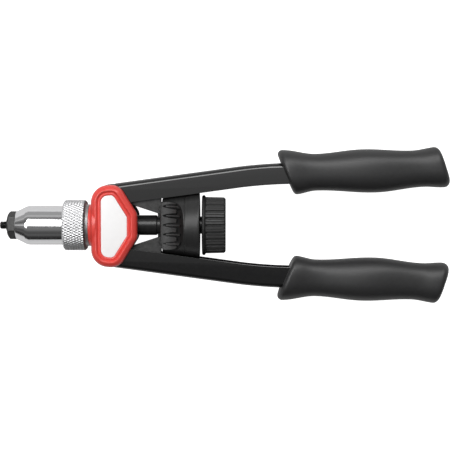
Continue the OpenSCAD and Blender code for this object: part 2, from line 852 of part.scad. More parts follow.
module stop_barrel() {
    hub_face = stop_x + stop_hollow;
    face_r = 10;
    mouth = 0.7;
    edge = 0.5;
    color([0.2, 0.2, 0.2]) difference() {
        turned([
            [stop_x, 0],
            [stop_x, face_r],
            [cone_x, stop_r - edge],
            [cone_x + edge, cone_r(cone_x + edge)],
            [stop_end, cone_r(stop_end)],
            [stop_end, 0]]);
        for (side = [-1, 1]) {
            scoop(side, scoop_r - pad_rise);
            intersection() {
                scoop(side, scoop_r);
                translate([0, 0, side > 0 ? 0 : -big]) linear_extrude(big) flute_plan();
            }
        }
        intersection() {
            turned([
                [stop_x - 1, 0],
                [stop_x - 1, hollow_r + mouth],
                [stop_x, hollow_r + mouth],
                [cone_x + edge, hollow_r],
                [hub_face - 1, hollow_r],
                [hub_face, hollow_r - 1],
                [hub_face, 0]]);
            translate([0, 0, -channel_inside]) linear_extrude(2 * channel_inside)
                square(big, center = true);
        }
        rod(stop_x, stop_end + 1, slider_thread_r + fit);
    }
}

module adjuster_nut() {
    rim = 0.4;
    bore = slider_thread_r + fit;
    color([0.12, 0.12, 0.12]) turned([
        [adjuster_x, bore],
        [adjuster_x, cone_r(adjuster_x)],
        [adjuster_end - rim, cone_r(adjuster_end - rim)],
        [adjuster_end, adjuster_r - rim],
        [adjuster_end, bore]]);
}

mandrel();
nosepiece();
nose_sleeve();
coupling_ring();
neck_bush();
head_frame();
front_cover();
rear_cover();
front_label();
upper_pivot_pin();
lower_pivot_pin();
upper_arm();
lower_arm();
upper_grip();
lower_grip();
upper_link_pin();
lower_link_pin();
upper_link_front();
upper_link_rear();
lower_link_front();
lower_link_rear();
upper_crosshead_pin();
lower_crosshead_pin();
slider();
rear_bush();
spindle();
mandrel_coupler();
thrust_washer();
stop_barrel();
adjuster_nut();
knob();
knob_screw();
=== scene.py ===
"""The looks of a two-handed rivet nut tool that lies flat, seen from above.

The tool's axis is +X, from the nose to the grips; its handles swing in the XY plane. Shapes are worked out
in millimetres, in the CAD frame, and become metres where a mesh is made.
"""

import json
import math

import bmesh
import bpy
import numpy as np
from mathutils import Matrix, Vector


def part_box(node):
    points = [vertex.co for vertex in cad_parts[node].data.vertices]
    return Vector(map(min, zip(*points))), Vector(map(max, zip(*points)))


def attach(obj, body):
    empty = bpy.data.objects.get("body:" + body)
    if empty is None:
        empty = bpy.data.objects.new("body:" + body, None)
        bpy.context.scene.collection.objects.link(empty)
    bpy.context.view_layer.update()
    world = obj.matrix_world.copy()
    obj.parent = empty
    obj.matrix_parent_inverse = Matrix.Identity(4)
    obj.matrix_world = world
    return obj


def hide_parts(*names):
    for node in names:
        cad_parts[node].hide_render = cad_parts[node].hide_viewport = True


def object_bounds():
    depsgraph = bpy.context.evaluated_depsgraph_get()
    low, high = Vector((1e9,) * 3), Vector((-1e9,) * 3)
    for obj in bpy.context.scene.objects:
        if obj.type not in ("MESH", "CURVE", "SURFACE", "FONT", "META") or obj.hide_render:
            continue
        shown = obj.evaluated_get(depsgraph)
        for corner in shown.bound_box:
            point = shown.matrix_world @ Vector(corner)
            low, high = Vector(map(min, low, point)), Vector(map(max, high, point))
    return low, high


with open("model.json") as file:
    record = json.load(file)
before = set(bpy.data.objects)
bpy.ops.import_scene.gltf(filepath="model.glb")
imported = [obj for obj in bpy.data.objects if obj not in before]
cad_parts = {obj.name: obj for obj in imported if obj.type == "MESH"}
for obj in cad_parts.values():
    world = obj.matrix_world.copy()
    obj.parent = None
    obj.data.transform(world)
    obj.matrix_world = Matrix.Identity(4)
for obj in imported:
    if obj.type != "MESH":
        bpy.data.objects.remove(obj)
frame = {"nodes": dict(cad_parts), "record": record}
cad_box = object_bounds()
nodes = frame["nodes"]

MM = 0.001
TAU = 2 * math.pi


# Places and sizes from the frame, in millimetres

def box_mm(node):
    """The lowest and highest corner of a CAD node."""
    low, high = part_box(node)
    return [c / MM for c in low], [c / MM for c in high]


def middle(node):
    """The middle of a CAD node's box."""
    low, high = box_mm(node)
    return [(a + b) / 2 for a, b in zip(low, high)]


def span_x(node):
    """Where a CAD node starts and ends along the tool's axis."""
    low, high = box_mm(node)
    return low[0], high[0]


def radius(node):
    """The largest radius of a CAD node that is turned about the tool's axis."""
    low, high = box_mm(node)
    return (high[2] - low[2]) / 2


BODY_OF = {node: body for body, names in frame["record"]["behaviour"]["bodies"].items() for node in names}
SLOT_OF = {part["node"]: part["material_slot"] for part in frame["record"]["subparts"]}
PIVOT_X, PIVOT_Y, _ = middle("upper_pivot_pin")


# Materials

def shader(name, color, roughness, metallic=0.0, coat=0.0, coat_roughness=0.1, specular=0.5):
    """A new Principled material with its constant values set; returns it with its node tree and shader."""
    material = bpy.data.materials.new(name)
    material.use_nodes = True
    tree = material.node_tree
    bsdf = tree.nodes["Principled BSDF"]
    bsdf.inputs["Base Color"].default_value = (*color, 1)
    bsdf.inputs["Roughness"].default_value = roughness
    bsdf.inputs["Metallic"].default_value = metallic
    bsdf.inputs["Coat Weight"].default_value = coat
    bsdf.inputs["Coat Roughness"].default_value = coat_roughness
    bsdf.inputs["Specular IOR Level"].default_value = specular
    return material, tree, bsdf


def add(tree, kind, **values):
    """A new node with some of its inputs set, given by name."""
    node = tree.nodes.new(kind)
    for key, value in values.items():
        node.inputs[key.replace("_", " ")].default_value = value
    return node


def noise(tree, scale, detail=3.0, stretch=(1, 1, 1)):
    """A noise texture in the row frame, with features of about 1 / scale metres."""
    coords = tree.nodes.new("ShaderNodeTexCoord")
    mapping = tree.nodes.new("ShaderNodeMapping")
    mapping.inputs["Scale"].default_value = stretch
    tree.links.new(coords.outputs["Object"], mapping.inputs["Vector"])
    texture = add(tree, "ShaderNodeTexNoise", Scale=scale, Detail=detail)
    tree.links.new(mapping.outputs["Vector"], texture.inputs["Vector"])
    return texture.outputs["Fac"]


# The part of a noise's values over which a roughness or a colour changes
ROUGHNESS_BAND = (0.3, 0.7)
COLOR_BAND = (0.35, 0.65)


def vary_roughness(tree, bsdf, factor, low, high):
    """Lets the roughness run from low to high over a texture's middle values."""
    start, end = ROUGHNESS_BAND
    span = add(tree, "ShaderNodeMapRange", From_Min=start, From_Max=end, To_Min=low, To_Max=high)
    tree.links.new(factor, span.inputs["Value"])
    tree.links.new(span.outputs["Result"], bsdf.inputs["Roughness"])


def vary_color(tree, bsdf, factor, first, second):
    """Lets the base colour run between two colours over a texture's middle values."""
    ramp = tree.nodes.new("ShaderNodeValToRGB")
    for stop, place, color in zip(ramp.color_ramp.elements, COLOR_BAND, (first, second)):
        stop.position = place
        stop.color = (*color, 1)
    tree.links.new(factor, ramp.inputs["Fac"])
    tree.links.new(ramp.outputs["Color"], bsdf.inputs["Base Color"])


def bump(tree, bsdf, factor, strength, height):
    """Roughens the surface by a texture, up to height millimetres."""
    node = add(tree, "ShaderNodeBump", Strength=strength, Distance=height * MM)
    tree.links.new(factor, node.inputs["Height"])
    tree.links.new(node.outputs["Normal"], bsdf.inputs["Normal"])


# Stretches a noise round the axis, into the fine rings that a lathe leaves
TURNED = (1, 0.03, 0.03)


def chrome():
    """The sleeve's bright plating."""
    material, tree, bsdf = shader("chrome_plate", (0.78, 0.78, 0.79), 0.12, metallic=1)
    vary_roughness(tree, bsdf, noise(tree, 700), 0.09, 0.15)
    bump(tree, bsdf, noise(tree, 5000, 2, TURNED), 0.05, 0.03)
    return material


def satin_chrome():
    """The knurled ring's duller plating."""
    material, tree, bsdf = shader("satin_chrome", (0.72, 0.72, 0.73), 0.36, metallic=1)
    vary_roughness(tree, bsdf, noise(tree, 900), 0.32, 0.4)
    bump(tree, bsdf, noise(tree, 6000, 2), 0.1, 0.03)
    return material


def turned_steel():
    """Bare steel from the lathe."""
    material, tree, bsdf = shader("turned_steel", (0.55, 0.55, 0.56), 0.3, metallic=1)
    vary_roughness(tree, bsdf, noise(tree, 1200), 0.25, 0.35)
    bump(tree, bsdf, noise(tree, 6000, 2, TURNED), 0.15, 0.03)
    return material


def oxide_steel(name, shade, roughness, metallic=0.85):
    """Darkened steel of a given shade."""
    material, tree, bsdf = shader(name, (shade,) * 3, roughness, metallic=metallic)
    vary_color(tree, bsdf, noise(tree, 400), (shade * 0.85,) * 3, (shade * 1.15,) * 3)
    vary_roughness(tree, bsdf, noise(tree, 1500), roughness - 0.05, roughness + 0.06)
    bump(tree, bsdf, noise(tree, 4000), 0.08, 0.03)
    return material


def gloss_paint():
    """The handles' glossy black paint."""
    material, tree, bsdf = shader("black_paint", (0.004, 0.004, 0.0043), 0.12, specular=0.9)
    vary_color(tree, bsdf, noise(tree, 300), (0.0035, 0.0035, 0.0038), (0.0045, 0.0045, 0.0048))
    vary_roughness(tree, bsdf, noise(tree, 500), 0.1, 0.14)
    bump(tree, bsdf, noise(tree, 900, 2), 0.02, 0.03)
    return material


def red_plastic():
    """The covers' glossy red."""
    material, tree, bsdf = shader("red_plastic", (0.79, 0.065, 0.053), 0.3, coat=0.3, coat_roughness=0.15)
    vary_color(tree, bsdf, noise(tree, 160), (0.77, 0.062, 0.05), (0.81, 0.069, 0.056))
    vary_roughness(tree, bsdf, noise(tree, 1200), 0.27, 0.35)
    bump(tree, bsdf, noise(tree, 2600, 2), 0.04, 0.04)
    return material


def white_plate():
    """The plate's white."""
    material, tree, bsdf = shader("white_plate", (0.97, 0.97, 0.97), 0.35)
    vary_color(tree, bsdf, noise(tree, 220), (0.96, 0.96, 0.96), (0.98, 0.98, 0.98))
    vary_roughness(tree, bsdf, noise(tree, 1500), 0.3, 0.4)
    return material


def rubber():
    """The grips' satin black."""
    material, tree, bsdf = shader("grip_rubber", (0.02, 0.02, 0.0206), 0.45, specular=0.66)
    vary_color(tree, bsdf, noise(tree, 350), (0.0183, 0.0183, 0.0188), (0.0217, 0.0217, 0.0223))
    vary_roughness(tree, bsdf, noise(tree, 1300), 0.42, 0.48)
    bump(tree, bsdf, noise(tree, 3200, 3), 0.12, 0.05)
    return material


def matte(name, shade, roughness, grain=3000):
    """Plastic or paint of a given grey, with a fine grain."""
    material, tree, bsdf = shader(name, (shade,) * 3, roughness)
    vary_color(tree, bsdf, noise(tree, 500), (shade * 0.9,) * 3, (shade * 1.1,) * 3)
    vary_roughness(tree, bsdf, noise(tree, 1600), roughness - 0.05, roughness + 0.07)
    bump(tree, bsdf, noise(tree, grain, 3), 0.15, 0.05)
    return material


def satin_black():
    """The adjuster's black, with fine rings from the lathe."""
    material, tree, bsdf = shader("satin_black", (0.018, 0.018, 0.018), 0.4)
    vary_color(tree, bsdf, noise(tree, 1500, 2, TURNED), (0.016, 0.016, 0.016), (0.021, 0.021, 0.021))
    vary_roughness(tree, bsdf, noise(tree, 1500, 2, TURNED), 0.36, 0.46)
    bump(tree, bsdf, noise(tree, 5000, 2, TURNED), 0.1, 0.03)
    return material


def bronze():
    """Bearing bronze."""
    material, tree, bsdf = shader("bronze", (0.5, 0.33, 0.14), 0.35, metallic=1)
    vary_color(tree, bsdf, noise(tree, 600), (0.46, 0.3, 0.12), (0.53, 0.35, 0.15))
    vary_roughness(tree, bsdf, noise(tree, 1200), 0.3, 0.42)
    bump(tree, bsdf, noise(tree, 5000, 2), 0.1, 0.03)
    return material


MATERIALS = {
    "black_steel": oxide_steel("black_oxide", 0.02, 0.2, metallic=0.3),
    "nose_steel": oxide_steel("dark_oxide", 0.045, 0.42),
    "chrome": chrome(),
    "bright_steel": turned_steel(),
    "frame_black": matte("frame_paint", 0.02, 0.4, 1500),
    "red_shell": red_plastic(),
    "white_label": white_plate(),
    "arm_paint": gloss_paint(),
    "grip_rubber": rubber(),
    "link_steel": oxide_steel("link_oxide", 0.06, 0.45),
    "bronze": bronze(),
    "adjuster_black": satin_black(),
    "stop_grey": matte("stop_grey", 0.036, 0.5),
    "knob_plastic": matte("knob_plastic", 0.03, 0.48),
}


# Making pieces

SHARP = math.radians(38)
FLAT = math.radians(0.6)
JOIN_DISTANCE = 0.002 * MM


def piece(name, points, faces, node, sharp=SHARP):
    """A mesh piece, from points in millimetres, that stands for a CAD node."""
    mesh = bpy.data.meshes.new(name)
    mesh.from_pydata((np.asarray(points, float) * MM).tolist(), [], faces)
    work = bmesh.new()
    work.from_mesh(mesh)
    bmesh.ops.recalc_face_normals(work, faces=work.faces)
    work.to_mesh(mesh)
    work.free()
    return dress(bpy.data.objects.new(name, mesh), node, sharp)


def dress(obj, node, sharp=SHARP):
    """Puts a piece into the scene in the place of a CAD node: it takes the node's body and finish."""
    bpy.context.scene.collection.objects.link(obj)
    mesh = obj.data
    mesh.shade_smooth()
    mesh.set_sharp_from_angle(angle=sharp)
    mesh.materials.clear()
    mesh.materials.append(MATERIALS[SLOT_OF[node]])
    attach(obj, BODY_OF[node])
    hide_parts(node)
    return obj


def refined(node, edge=0.25, min_angle=35, sharp=SHARP):
    """A copy of a CAD node with its flat faces joined and its edges rounded by edge millimetres."""
    work = bmesh.new()
    work.from_mesh(nodes[node].data)
    bmesh.ops.remove_doubles(work, verts=work.verts, dist=JOIN_DISTANCE)
    bmesh.ops.dissolve_limit(work, angle_limit=FLAT, verts=work.verts, edges=work.edges)
    bmesh.ops.recalc_face_normals(work, faces=work.faces)
    corners = [e for e in work.edges if e.is_manifold and e.calc_face_angle(0) > math.radians(min_angle)]
    bmesh.ops.bevel(work, geom=corners, offset=edge * MM, segments=2, affect="EDGES", clamp_overlap=True)
    mesh = bpy.data.meshes.new(node + "_finished")
    work.to_mesh(mesh)
    work.free()
    obj = dress(bpy.data.objects.new(node + "_finished", mesh), node, sharp)
    weigh = obj.modifiers.new("even", "WEIGHTED_NORMAL")
    weigh.keep_sharp = True
    return obj


def weld(mesh):
    """Joins points that fall together and drops the faces that this leaves without a surface."""
    work = bmesh.new()
    work.from_mesh(mesh)
    bmesh.ops.remove_doubles(work, verts=work.verts, dist=JOIN_DISTANCE)
    bmesh.ops.dissolve_degenerate(work, edges=work.edges, dist=JOIN_DISTANCE)
    bmesh.ops.recalc_face_normals(work, faces=work.faces)
    work.to_mesh(mesh)
    work.free()


def grid_faces(rows, columns, wrap_rows=False):
    """Quads over rows of points; each row is a closed ring, and the rows may close as well."""
    return [
        (i * columns + j, i * columns + (j + 1) % columns,
         (i + 1) % rows * columns + (j + 1) % columns, (i + 1) % rows * columns + j)
        for i in range(rows if wrap_rows else rows - 1) for j in range(columns)]


def end_caps(rows, columns):
    """A flat face over the first and the last ring of a grid."""
    last = (rows - 1) * columns
    return [tuple(range(columns))[::-1], tuple(range(last, last + columns))]


# The largest share of a profile's stretch that the rounding of one corner takes
CORNER_SHARE = 0.45


def soften(profile, size, steps=3):
    """A closed profile with its corners rounded by up to size."""
    out = []
    for i, corner in enumerate(profile):
        corner = Vector(corner)
        before, after = Vector(profile[i - 1]) - corner, Vector(profile[(i + 1) % len(profile)]) - corner
        start = corner + min(size, CORNER_SHARE * before.length) * before.normalized()
        end = corner + min(size, CORNER_SHARE * after.length) * after.normalized()
        for k in range(steps + 1):
            t = k / steps
            out.append((1 - t) ** 2 * start + 2 * t * (1 - t) * corner + t * t * end)
    return out


def ring_points(rows, angles):
    """Rings of points about the tool's axis, one for each row [x, r]."""
    return np.concatenate([
        np.stack([np.broadcast_to(x, angles.shape), r * np.cos(angles), r * np.sin(angles)], axis=1)
        for x, r in rows])


def turned_piece(name, node, rows, angles, sharp=SHARP):
    """A closed ring about the axis; its rows go from the bore over the outside back to the bore."""
    faces = grid_faces(len(rows), len(angles), wrap_rows=True)
    return piece(name, ring_points(rows, angles), faces, node, sharp)


def even_angles(count):
    """Angles that share a full turn evenly."""
    return np.arange(count) * TAU / count


def ease(t):
    """A smooth step from 0 to 1."""
    t = np.clip(t, 0, 1)
    return t * t * (3 - 2 * t)


# Camera, light and floor

PIXEL = 0.735
IMAGE = 452
NOSE_PIXEL = (7.0, 225.1)
CAMERA_HEIGHT = 880.0
CAMERA_LEAN = 58.0


def make_camera():
    """The camera looks down on the middle of the picture from a little towards the upper handle."""
    target = Vector(((IMAGE / 2 - NOSE_PIXEL[0]) * PIXEL, (NOSE_PIXEL[1] - IMAGE / 2) * PIXEL, 0)) * MM
    back = Vector((0, CAMERA_LEAN, CAMERA_HEIGHT)) * MM
    data = bpy.data.cameras.new("camera")
    camera = bpy.data.objects.new("camera", data)
    bpy.context.scene.collection.objects.link(camera)
    camera.location = target + back
    camera.rotation_euler = (-math.atan2(CAMERA_LEAN, CAMERA_HEIGHT), 0, 0)
    data.sensor_fit = "HORIZONTAL"
    data.lens = data.sensor_width * back.length / (IMAGE * PIXEL * MM)
    bpy.context.scene.camera = camera


def make_area(name, place, turn, size, radiance):
    """A flat lamp that faces down, turned about the vertical, with a given brightness of its face."""
    data = bpy.data.lights.new(name, "AREA")
    data.shape = "RECTANGLE"
    data.size, data.size_y = size
    data.energy = radiance * math.pi * size[0] * size[1]
    lamp = bpy.data.objects.new(name, data)
    bpy.context.scene.collection.objects.link(lamp)
    lamp.location = place
    lamp.rotation_euler = (0, 0, turn)


FLOOR_HALF = 3.0
FLOOR_GAP = 0.4 * MM
FLOOR_LIFT = 1.1
MIRROR_LIFT = 0.25


def make_floor():
    """A pale floor that the camera and bright metal see lighter than it is, so that it ends up white."""
    low = cad_box[0][2] - FLOOR_GAP
    mesh = bpy.data.meshes.new("floor")
    corners = [(FLOOR_HALF * x, FLOOR_HALF * y, low) for x, y in ((-1, -1), (1, -1), (1, 1), (-1, 1))]
    mesh.from_pydata(corners, [], [(0, 1, 2, 3)])
    floor = bpy.data.objects.new("floor", mesh)
    bpy.context.scene.collection.objects.link(floor)
    material, tree, bsdf = shader("pale_floor", (0.5, 0.5, 0.5), 0.9, specular=0.1)
    bsdf.inputs["Emission Color"].default_value = (1, 1, 1, 1)
    seen = tree.nodes.new("ShaderNodeLightPath")
    mirrored = tree.nodes.new("ShaderNodeMath")
    mirrored.operation = "MULTIPLY"
    mirrored.inputs[1].default_value = MIRROR_LIFT
    tree.links.new(seen.outputs["Is Glossy Ray"], mirrored.inputs[0])
    glow = tree.nodes.new("ShaderNodeMath")
    glow.operation = "MULTIPLY_ADD"
    glow.inputs[1].default_value = FLOOR_LIFT
    tree.links.new(seen.outputs["Is Camera Ray"], glow.inputs[0])
    tree.links.new(mirrored.outputs[0], glow.inputs[2])
    tree.links.new(glow.outputs[0], bsdf.inputs["Emission Strength"])
    mesh.materials.append(material)


# Brightness of the studio by the angle from straight up towards the upper handle, in degrees
STUDIO = [
    (-110, 0.02), (-85, 0.02), (-76, 0.03), (-68, 0.05), (-57, 0.12), (-50, 0.08), (-37, 0.09), (-25, 0.18),
    (-13, 0.2), (-7, 0.12), (-3, 0.5), (4, 0.75), (12, 0.3), (30, 0.1), (46, 0.25), (52, 0.24), (56, 0.57),
    (61, 0.57), (65, 0.38), (110, 0.4)]


def make_world():
    """A dim studio that is lighter on the side of the upper handle, with a strip of light there."""
    world = bpy.data.worlds.new("studio")
    bpy.context.scene.world = world
    world.use_nodes = True
    tree = world.node_tree
    coords = tree.nodes.new("ShaderNodeTexCoord")
    split = tree.nodes.new("ShaderNodeSeparateXYZ")
    tree.links.new(coords.outputs["Generated"], split.inputs["Vector"])
    angle = tree.nodes.new("ShaderNodeMath")
    angle.operation = "ARCTAN2"
    tree.links.new(split.outputs["Y"], angle.inputs[0])
    tree.links.new(split.outputs["Z"], angle.inputs[1])
    first, last = STUDIO[0][0], STUDIO[-1][0]
    share = add(tree, "ShaderNodeMapRange", From_Min=math.radians(first), From_Max=math.radians(last))
    tree.links.new(angle.outputs[0], share.inputs["Value"])
    ramp = tree.nodes.new("ShaderNodeValToRGB")
    stops = ramp.color_ramp.elements
    stops.remove(stops[1])
    for degrees, shade in STUDIO:
        stop = stops[0] if degrees == first else stops.new((degrees - first) / (last - first))
        stop.color = (shade, shade, shade, 1)
    tree.links.new(share.outputs["Result"], ramp.inputs["Fac"])
    tree.links.new(ramp.outputs["Color"], tree.nodes["Background"].inputs["Color"])


KEY_PLACE = (0.129, 0.7, 1.0)
KEY_TURN = math.radians(41)
KEY_SIZE = (2.4, 0.55)
KEY_RADIANCE = 4.5

make_camera()
make_floor()
make_world()
make_area("key", KEY_PLACE, KEY_TURN, KEY_SIZE, KEY_RADIANCE)
bpy.context.scene.view_settings.view_transform = "Standard"


# Nose: threaded mandrel, sleeve and knurled ring

AXIS_R = 0.001
THREAD_R = 3.0
THREAD_END = 0.4
THREAD_PITCH = 1.0
THREAD_DEPTH = 0.6
THREAD_CREST = 0.12
THREAD_STEEPNESS = 1.25
TIP_CHAMFER = 0.8
MANDREL_SHANK_R = 2.67
MANDREL_HEAD_LEN = 7.5
SLEEVE_TIP_R = 10.2
SLEEVE_R = 14.4
SLEEVE_CONE = 7.8
SLEEVE_SHOULDER = 0.45
SLEEVE_SHOULDER_LEN = 1.9
SLEEVE_FLANGE_LEN = 4.1
SLEEVE_BORE_R = 10.7
SLEEVE_WALL = 9.3
STUB_R = 7.0
RING_SHOULDER = 7.0
RING_PLAY = 0.05
RING_WALL = 2.1
RING_FRONT = 1.3
RING_REAR, RING_REAR_LEN = 1.0, 1.3
KNURL_PITCH = 2.0
KNURL_LEAD = 4.1
KNURL_DEPTH = 0.65
KNURL_STEEPNESS = 1.35
NECK_R = 15.3
NECK_BORE_R = 7.4
NECK_STUB_R = 9.6
COLLAR_OVERLAP = 0.3
COLLAR_GAP = 0.02


def triangle(phase):
    """A triangle wave: 0 at whole numbers, 1 halfway between them."""
    return 1 - np.abs(2 * (phase % 1) - 1)


def mandrel():
    """A rod with a threaded tip and a hexagon head."""
    x0, x1 = span_x("mandrel")
    head_x = x1 - MANDREL_HEAD_LEN
    angles = even_angles(96)
    flat_turn = math.pi / 6
    flat_r = radius("mandrel") * math.cos(flat_turn)
    hexagon = flat_r / np.cos((angles - flat_turn) % (2 * flat_turn) - flat_turn)
    rows = [(x0, AXIS_R)]
    for x in np.linspace(x0, THREAD_END, 105):
        valley = THREAD_STEEPNESS * triangle(x / THREAD_PITCH - angles / TAU) - THREAD_CREST
        cut = THREAD_DEPTH * np.clip(valley, 0, 1)
        rows.append((x, np.minimum(THREAD_R - cut, THREAD_R - TIP_CHAMFER + (x - x0))))
    rows += [(THREAD_END + 0.05, MANDREL_SHANK_R), (head_x, MANDREL_SHANK_R), (head_x, hexagon)]
    rows += [(x1, hexagon), (x1, AXIS_R)]
    size = len(rows), len(angles)
    piece("threaded_mandrel", ring_points(rows, angles), grid_faces(*size) + end_caps(*size), "mandrel")


def sleeve():
    """A chromed sleeve with a cone in front and a flange for the coupling ring behind."""
    x0, x1 = span_x("nose_sleeve")
    flange_x, flange_r = x1 - SLEEVE_FLANGE_LEN, radius("nose_sleeve")
    wall_end = x0 + SLEEVE_WALL
    cone_end = x0 + SLEEVE_CONE
    profile = soften([
        (x0, STUB_R), (x0, SLEEVE_TIP_R), (cone_end, SLEEVE_R - SLEEVE_SHOULDER),
        (cone_end + SLEEVE_SHOULDER_LEN, SLEEVE_R), (flange_x, SLEEVE_R), (flange_x, flange_r),
        (x1, flange_r), (x1, SLEEVE_BORE_R), (wall_end, SLEEVE_BORE_R), (wall_end, STUB_R)], 0.5)
    turned_piece("chrome_sleeve", "nose_sleeve", profile, even_angles(192), math.radians(60))


def coupling_ring():
    """A knurled ring with a chamfer in front and a dark, narrower edge behind."""
    x0, x1 = span_x("coupling_ring")
    r = radius("coupling_ring")
    teeth = round(TAU * r / KNURL_PITCH)
    angles = even_angles(teeth * 8)
    knurl_end = x1 - RING_REAR_LEN
    shoulder = x0 + RING_SHOULDER
    bore, thread_bore = SLEEVE_R + RING_PLAY, r - RING_WALL
    turn = teeth * angles / TAU
    rows = [(x0, bore), (x0, r - RING_FRONT - 0.1), (x0 + 0.12, r - RING_FRONT)]
    for x in np.linspace(x0 + 0.35, knurl_end, 54):
        crown = np.minimum(triangle(turn + x / KNURL_LEAD), triangle(turn - x / KNURL_LEAD))
        height = r - KNURL_DEPTH * (1 - np.clip(KNURL_STEEPNESS * crown, 0, 1))
        rows.append((x, np.minimum(height, r - RING_FRONT + (x - x0))))
    rows += [(knurl_end + 0.1, r - 0.2), (x1 - 0.15, r - RING_REAR), (x1, r - RING_REAR - 0.2)]
    rows += [(x1, thread_bore), (shoulder, thread_bore), (shoulder, bore)]
    ring = turned_piece("knurled_ring", "coupling_ring", rows, angles, math.radians(70))
    ring.data.materials[0] = satin_chrome()
    # The faces behind the knurl take a darker, duller steel than the ring.
    ring.data.materials.append(oxide_steel("dark_rear_edge", 0.07, 0.5, metallic=0.2))
    for face in ring.data.polygons:
        face.material_index = int(face.center.x > knurl_end * MM)


def neck_bush():
    """The head's threaded bush, which shows as a collar between the ring and the covers."""
    x0, x1 = span_x("neck_bush")
    r = radius("neck_bush")
    collar_x = span_x("coupling_ring")[1] - COLLAR_OVERLAP
    collar_end = span_x("front_cover")[0] - COLLAR_GAP
    profile = soften([
        (x0, NECK_BORE_R), (x0, r), (collar_x, r), (collar_x, NECK_R), (collar_end, NECK_R),
        (collar_end, NECK_STUB_R), (x1, NECK_STUB_R), (x1, NECK_BORE_R)], 0.2)
    bush = turned_piece("neck_collar", "neck_bush", profile, even_angles(160), math.radians(60))
    bush.data.materials[0] = oxide_steel("collar_steel", 0.4, 0.5)


mandrel()
refined("nosepiece", 0.35)
sleeve()
coupling_ring()
neck_bush()


# Head: the covers' outline is a belt round circles

LOBE = 12.45
LOBE_REAR = 11.0
LOBE_REAR_X, LOBE_REAR_Y = 2.0, 1.65
REAR_CORNER = 8.7
REAR_CORNER_Y = 6.5
LABEL_INSET = 7.5
COVER_WALL = 1.6
COVER_STEPS = 64
COVER_FILL = 0.9
CEILING_DROP = 3.48
CHEEK_IN, CHEEK_OUT = 9.8, 13.3
COVER_LOW, COVER_HIGH = box_mm("front_cover")
HEAD_X, HEAD_END, BEAD_TOP = COVER_LOW[0], COVER_HIGH[0], COVER_HIGH[2]
BLOCK_END = span_x("neck_bush")[1]
# How far the covers' arched front wall reaches behind the neck, and half the gap between the covers
FRONT_WALL_MARGIN = 0.2
SPLIT_HALF = 0.15
FLARE_X = 0.9
FLARE_LEN, FLARE_RISE = 2.4, 2.2
HALF_HEAD = [
    (PIVOT_X, PIVOT_Y, LOBE),
    (PIVOT_X + LOBE_REAR_X, PIVOT_Y + LOBE_REAR_Y, LOBE_REAR),
    (HEAD_END - REAR_CORNER, REAR_CORNER_Y, REAR_CORNER),
]
HEAD_CIRCLES = [(x, -y, r) for x, y, r in HALF_HEAD] + HALF_HEAD[::-1]


def tangent(a, b):
    """The direction of the outer tangent's normal from circle a to circle b."""
    dx, dy = b[0] - a[0], b[1] - a[1]
    return math.atan2(dy, dx) - math.acos((a[2] - b[2]) / math.hypot(dx, dy))


def belt(circles, inset, steps=16, fill=math.inf):
    """The outline round circles [x, y, r], given anticlockwise, drawn in by inset.

    Straight stretches get a point about every fill millimetres.
    """
    arcs = []
    for i, (x, y, r) in enumerate(circles):
        start = tangent(circles[i - 1], circles[i])
        turn = (tangent(circles[i], circles[(i + 1) % len(circles)]) - start) % TAU
        a = start + turn * np.arange(steps + 1) / steps
        arcs.append(np.column_stack([x + (r - inset) * np.cos(a), y + (r - inset) * np.sin(a)]))
    out = []
    for i, arc in enumerate(arcs):
        end, after = arc[-1], arcs[(i + 1) % len(arcs)][0]
        count = int(math.dist(end, after) / fill + 1e-6)
        out += [arc] + [end + (after - end) * k / (count + 1) for k in range(1, count + 1)]
    return np.vstack(out)


def belt_rings(rows, *detail):
    """Rings of points round the head, one for each row [inset, z]; detail goes to belt()."""
    rings = [(belt(HEAD_CIRCLES, inset, *detail), z) for inset, z in rows]
    return [np.column_stack([ring, np.broadcast_to(z, len(ring))]) for ring, z in rings]


# The bead round a cover as [inset, height below its top]: flank, ridge, groove, border
BEAD = [
    (0.0, 5.6), (0.1, 4.3), (0.3, 3.3), (0.65, 2.5), (1.2, 1.75), (1.9, 1.1), (2.7, 0.5), (3.3, 0.15),
    (3.75, 0.0), (4.1, 0.08), (4.4, 0.35), (4.7, 0.85), (4.95, 1.4), (5.15, 1.7), (5.35, 1.78),
    (5.55, 1.68), (5.8, 1.45), (6.15, 1.35), (6.8, 1.38), (7.2, 1.5)]
RECESS = 2.2


def cover(name, node, side):
    """A cover with its bead; side is 1 for the one that is seen from above, -1 for the other.

    Its wall ends at the frame's cheek, and in front it is arched over the neck's bore.
    """
    detail = COVER_STEPS, COVER_FILL
    x, y = belt(HEAD_CIRCLES, 0, *detail).T
    skirt = CHEEK_IN if side > 0 else CHEEK_OUT
    arch = np.sqrt(np.clip((NECK_R - COVER_WALL) ** 2 - y ** 2, SPLIT_HALF ** 2, None))
    low = np.where(x < BLOCK_END + FRONT_WALL_MARGIN, arch, skirt)
    rows = [(COVER_WALL, BEAD_TOP - CEILING_DROP), (COVER_WALL, low), (0.55, low), (0.3, low + 0.25)]
    rows += [(inset, BEAD_TOP - drop) for inset, drop in BEAD]
    rows += [(LABEL_INSET - 0.1, BEAD_TOP - RECESS + 0.5), (LABEL_INSET, BEAD_TOP - RECESS)]
    size = len(rows), len(x)
    faces = grid_faces(*size) + end_caps(*size)
    neck, neck_faces = neck_half()
    start = len(rows) * len(x)
    points = np.concatenate(belt_rings(rows, *detail) + [neck])
    points[:, 2] *= side
    faces += [tuple(start + i for i in face) for face in neck_faces]
    piece(name, points, faces, node)


